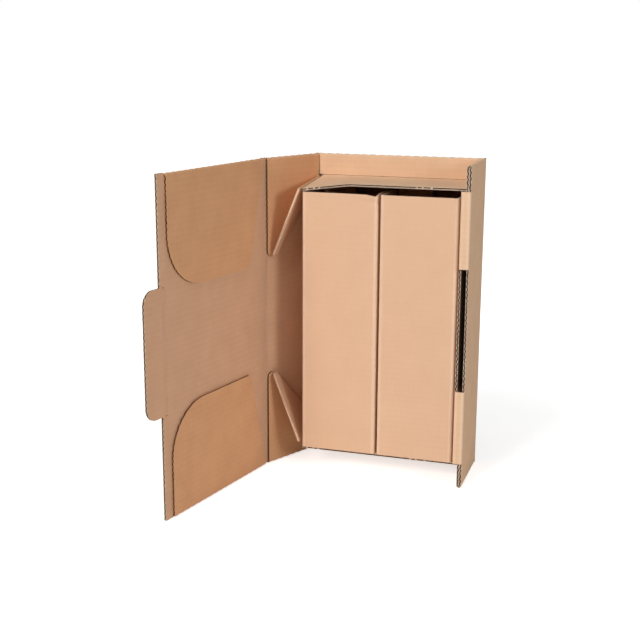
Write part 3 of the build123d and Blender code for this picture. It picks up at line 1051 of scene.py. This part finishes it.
# %% Pieces ride on their bodies and stand for their solids
stands = [
    (carton_board, "carton", "carton_base", "kraft_board"),
    (side_wall_board, "side_wall", "side_wall", "kraft_board"),
    (web_boards["web_top"], "web_top", "web_top", "kraft_board"),
    (web_boards["web_bottom"], "web_bottom", "web_bottom", "kraft_board"),
    (lid_board, "lid", "lid", "kraft_board"), (tab_board, "tuck_tab", "tuck_tab", "kraft_board"),
    (sleeve_boards["left"], "carton", "bottle_sleeve_left", "sleeve_board"),
    (sleeve_boards["right"], "carton", "bottle_sleeve_right", "sleeve_board"),
]
for piece, body, node, slot in stands:
    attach(piece, body)
    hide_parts(node)
print(len(stands), "pieces stand for solids,", len(skins), "skins cross creases")

# %% [markdown]
# ## Floor, light and camera
#
# The studio is a white floor that runs into a white surround. A broad soft lamp stands in front on the left,
# so that the lid and the inside of the side wall lie in grazing light. A smaller one on the right lights the
# outer face of the right wall, a large one hangs above, and the fill is weak, so the hollows stay dark. For
# the camera the floor and the surround are simply white; the light on the object stays at a plain level.

# %% Floor


def seen_directly(tree):
    """1 for what the camera sees directly or in a gloss, 0 for light that falls on the object."""
    path = put_node(tree, "ShaderNodeLightPath")
    either = math_node(tree, "MAXIMUM", path.outputs["Is Camera Ray"], path.outputs["Is Glossy Ray"])
    return math_node(tree, "MAXIMUM", either, path.outputs["Is Transmission Ray"])


floor_mesh = bpy.data.meshes.new("floor")
floor_half, floor_level, floor_side = 8.0, -0.0004, 5
floor_x, floor_y = np.meshgrid(*[np.linspace(-floor_half, floor_half, floor_side)] * 2)
floor_points = np.stack([floor_x.ravel(), floor_y.ravel(), np.full(floor_side**2, floor_level)], -1)
index = np.arange(floor_side**2).reshape(floor_side, floor_side)
floor_faces = np.stack([index[:-1, :-1], index[:-1, 1:], index[1:, 1:], index[1:, :-1]], -1)
floor_mesh.from_pydata(floor_points.tolist(), [], floor_faces.reshape(-1, 4).tolist())
floor = bpy.data.objects.new("floor", floor_mesh)
bpy.context.scene.collection.objects.link(floor)
floor_paint = bpy.data.materials.new("floor_paint")
floor_paint.use_nodes = True
tree = floor_paint.node_tree
floor_shader = tree.nodes["Principled BSDF"]
floor_shader.inputs["Base Color"].default_value = (0.94, 0.94, 0.94, 1)
floor_shader.inputs["Roughness"].default_value = 0.9
floor_shader.inputs["Specular IOR Level"].default_value = 0.0
floor_shader.inputs["Emission Color"].default_value = (1, 1, 1, 1)
spot = put_node(tree, "ShaderNodeTexCoord").outputs["Object"]
far = put_node(tree, "ShaderNodeVectorMath", {0: spot}, operation="LENGTH").outputs["Value"]
glow = put_node(tree, "ShaderNodeMapRange", {"Value": far, "From Min": 0.3, "From Max": 0.9,
                                             "To Min": 0.64, "To Max": 1.0})
tree.links.new(math_node(tree, "MULTIPLY", seen_directly(tree), glow.outputs[0]),
               floor_shader.inputs["Emission Strength"])
floor_mesh.materials.append(floor_paint)

# %% Surround
world = bpy.data.worlds.new("surround")
bpy.context.scene.world = world
world.use_nodes = True
tree = world.node_tree
background = tree.nodes["Background"]
background.inputs["Color"].default_value = (1, 1, 1, 1)
fill_level = 0.05
level = math_node(tree, "ADD", math_node(tree, "MULTIPLY", seen_directly(tree), 1 - fill_level), fill_level)
tree.links.new(level, background.inputs["Strength"])

# %% Lamps
lamp_aim = Vector((-0.05, -0.12, 0.2))


def soft_lamp(name, place, size, power):
    """Round area lamp: its -Z axis looks from its place to the aim."""
    lamp = bpy.data.lights.new(name, "AREA")
    lamp.shape = "DISK"
    lamp.size = size
    lamp.energy = power
    holder = bpy.data.objects.new(name, lamp)
    holder.location = place
    holder.rotation_euler = (lamp_aim - Vector(place)).to_track_quat("-Z", "Y").to_euler()
    bpy.context.scene.collection.objects.link(holder)


soft_lamp("front_lamp", (-1.36, -3.72, 2.1), 1.5, 97.0)
soft_lamp("right_lamp", (2.85, -1.56, 1.25), 1.1, 30.0)
soft_lamp("top_lamp", (-0.05, -0.9, 3.1), 2.4, 27.0)

# %% [markdown]
# The camera could be aimed by hand. Its place, its three angles and its focal length were worked out instead,
# from the corners of the carton in the photograph. The focal length comes in pixels of the picture's width.

# %% Camera
camera_place, focal_pixels, picture_width = (0.3606, -1.4887, 0.5596), 1138.3, 640
yaw, pitch, roll = np.radians([17.58, 13.47, 0.26])
forward = np.array([-np.sin(yaw) * np.cos(pitch), np.cos(yaw) * np.cos(pitch), -np.sin(pitch)])
level_right = np.array([np.cos(yaw), np.sin(yaw), 0.0])
level_up = np.cross(level_right, forward)
camera_right = np.cos(roll) * level_right + np.sin(roll) * level_up
camera_up = -np.sin(roll) * level_right + np.cos(roll) * level_up
lens = bpy.data.cameras.new("camera")
lens.sensor_width = 36.0
lens.lens = lens.sensor_width * focal_pixels / picture_width
lens.clip_start, lens.clip_end = 0.05, 50
camera = bpy.data.objects.new("camera", lens)
turn = np.eye(4)
turn[:3, :3] = np.stack([camera_right, camera_up, -forward], -1)
turn[:3, 3] = camera_place
camera.matrix_world = Matrix(turn.tolist())
bpy.context.scene.collection.objects.link(camera)
bpy.context.scene.camera = camera
bpy.context.scene.view_settings.view_transform = "Standard"
print(f"camera with a lens of {lens.lens:.1f} mm")
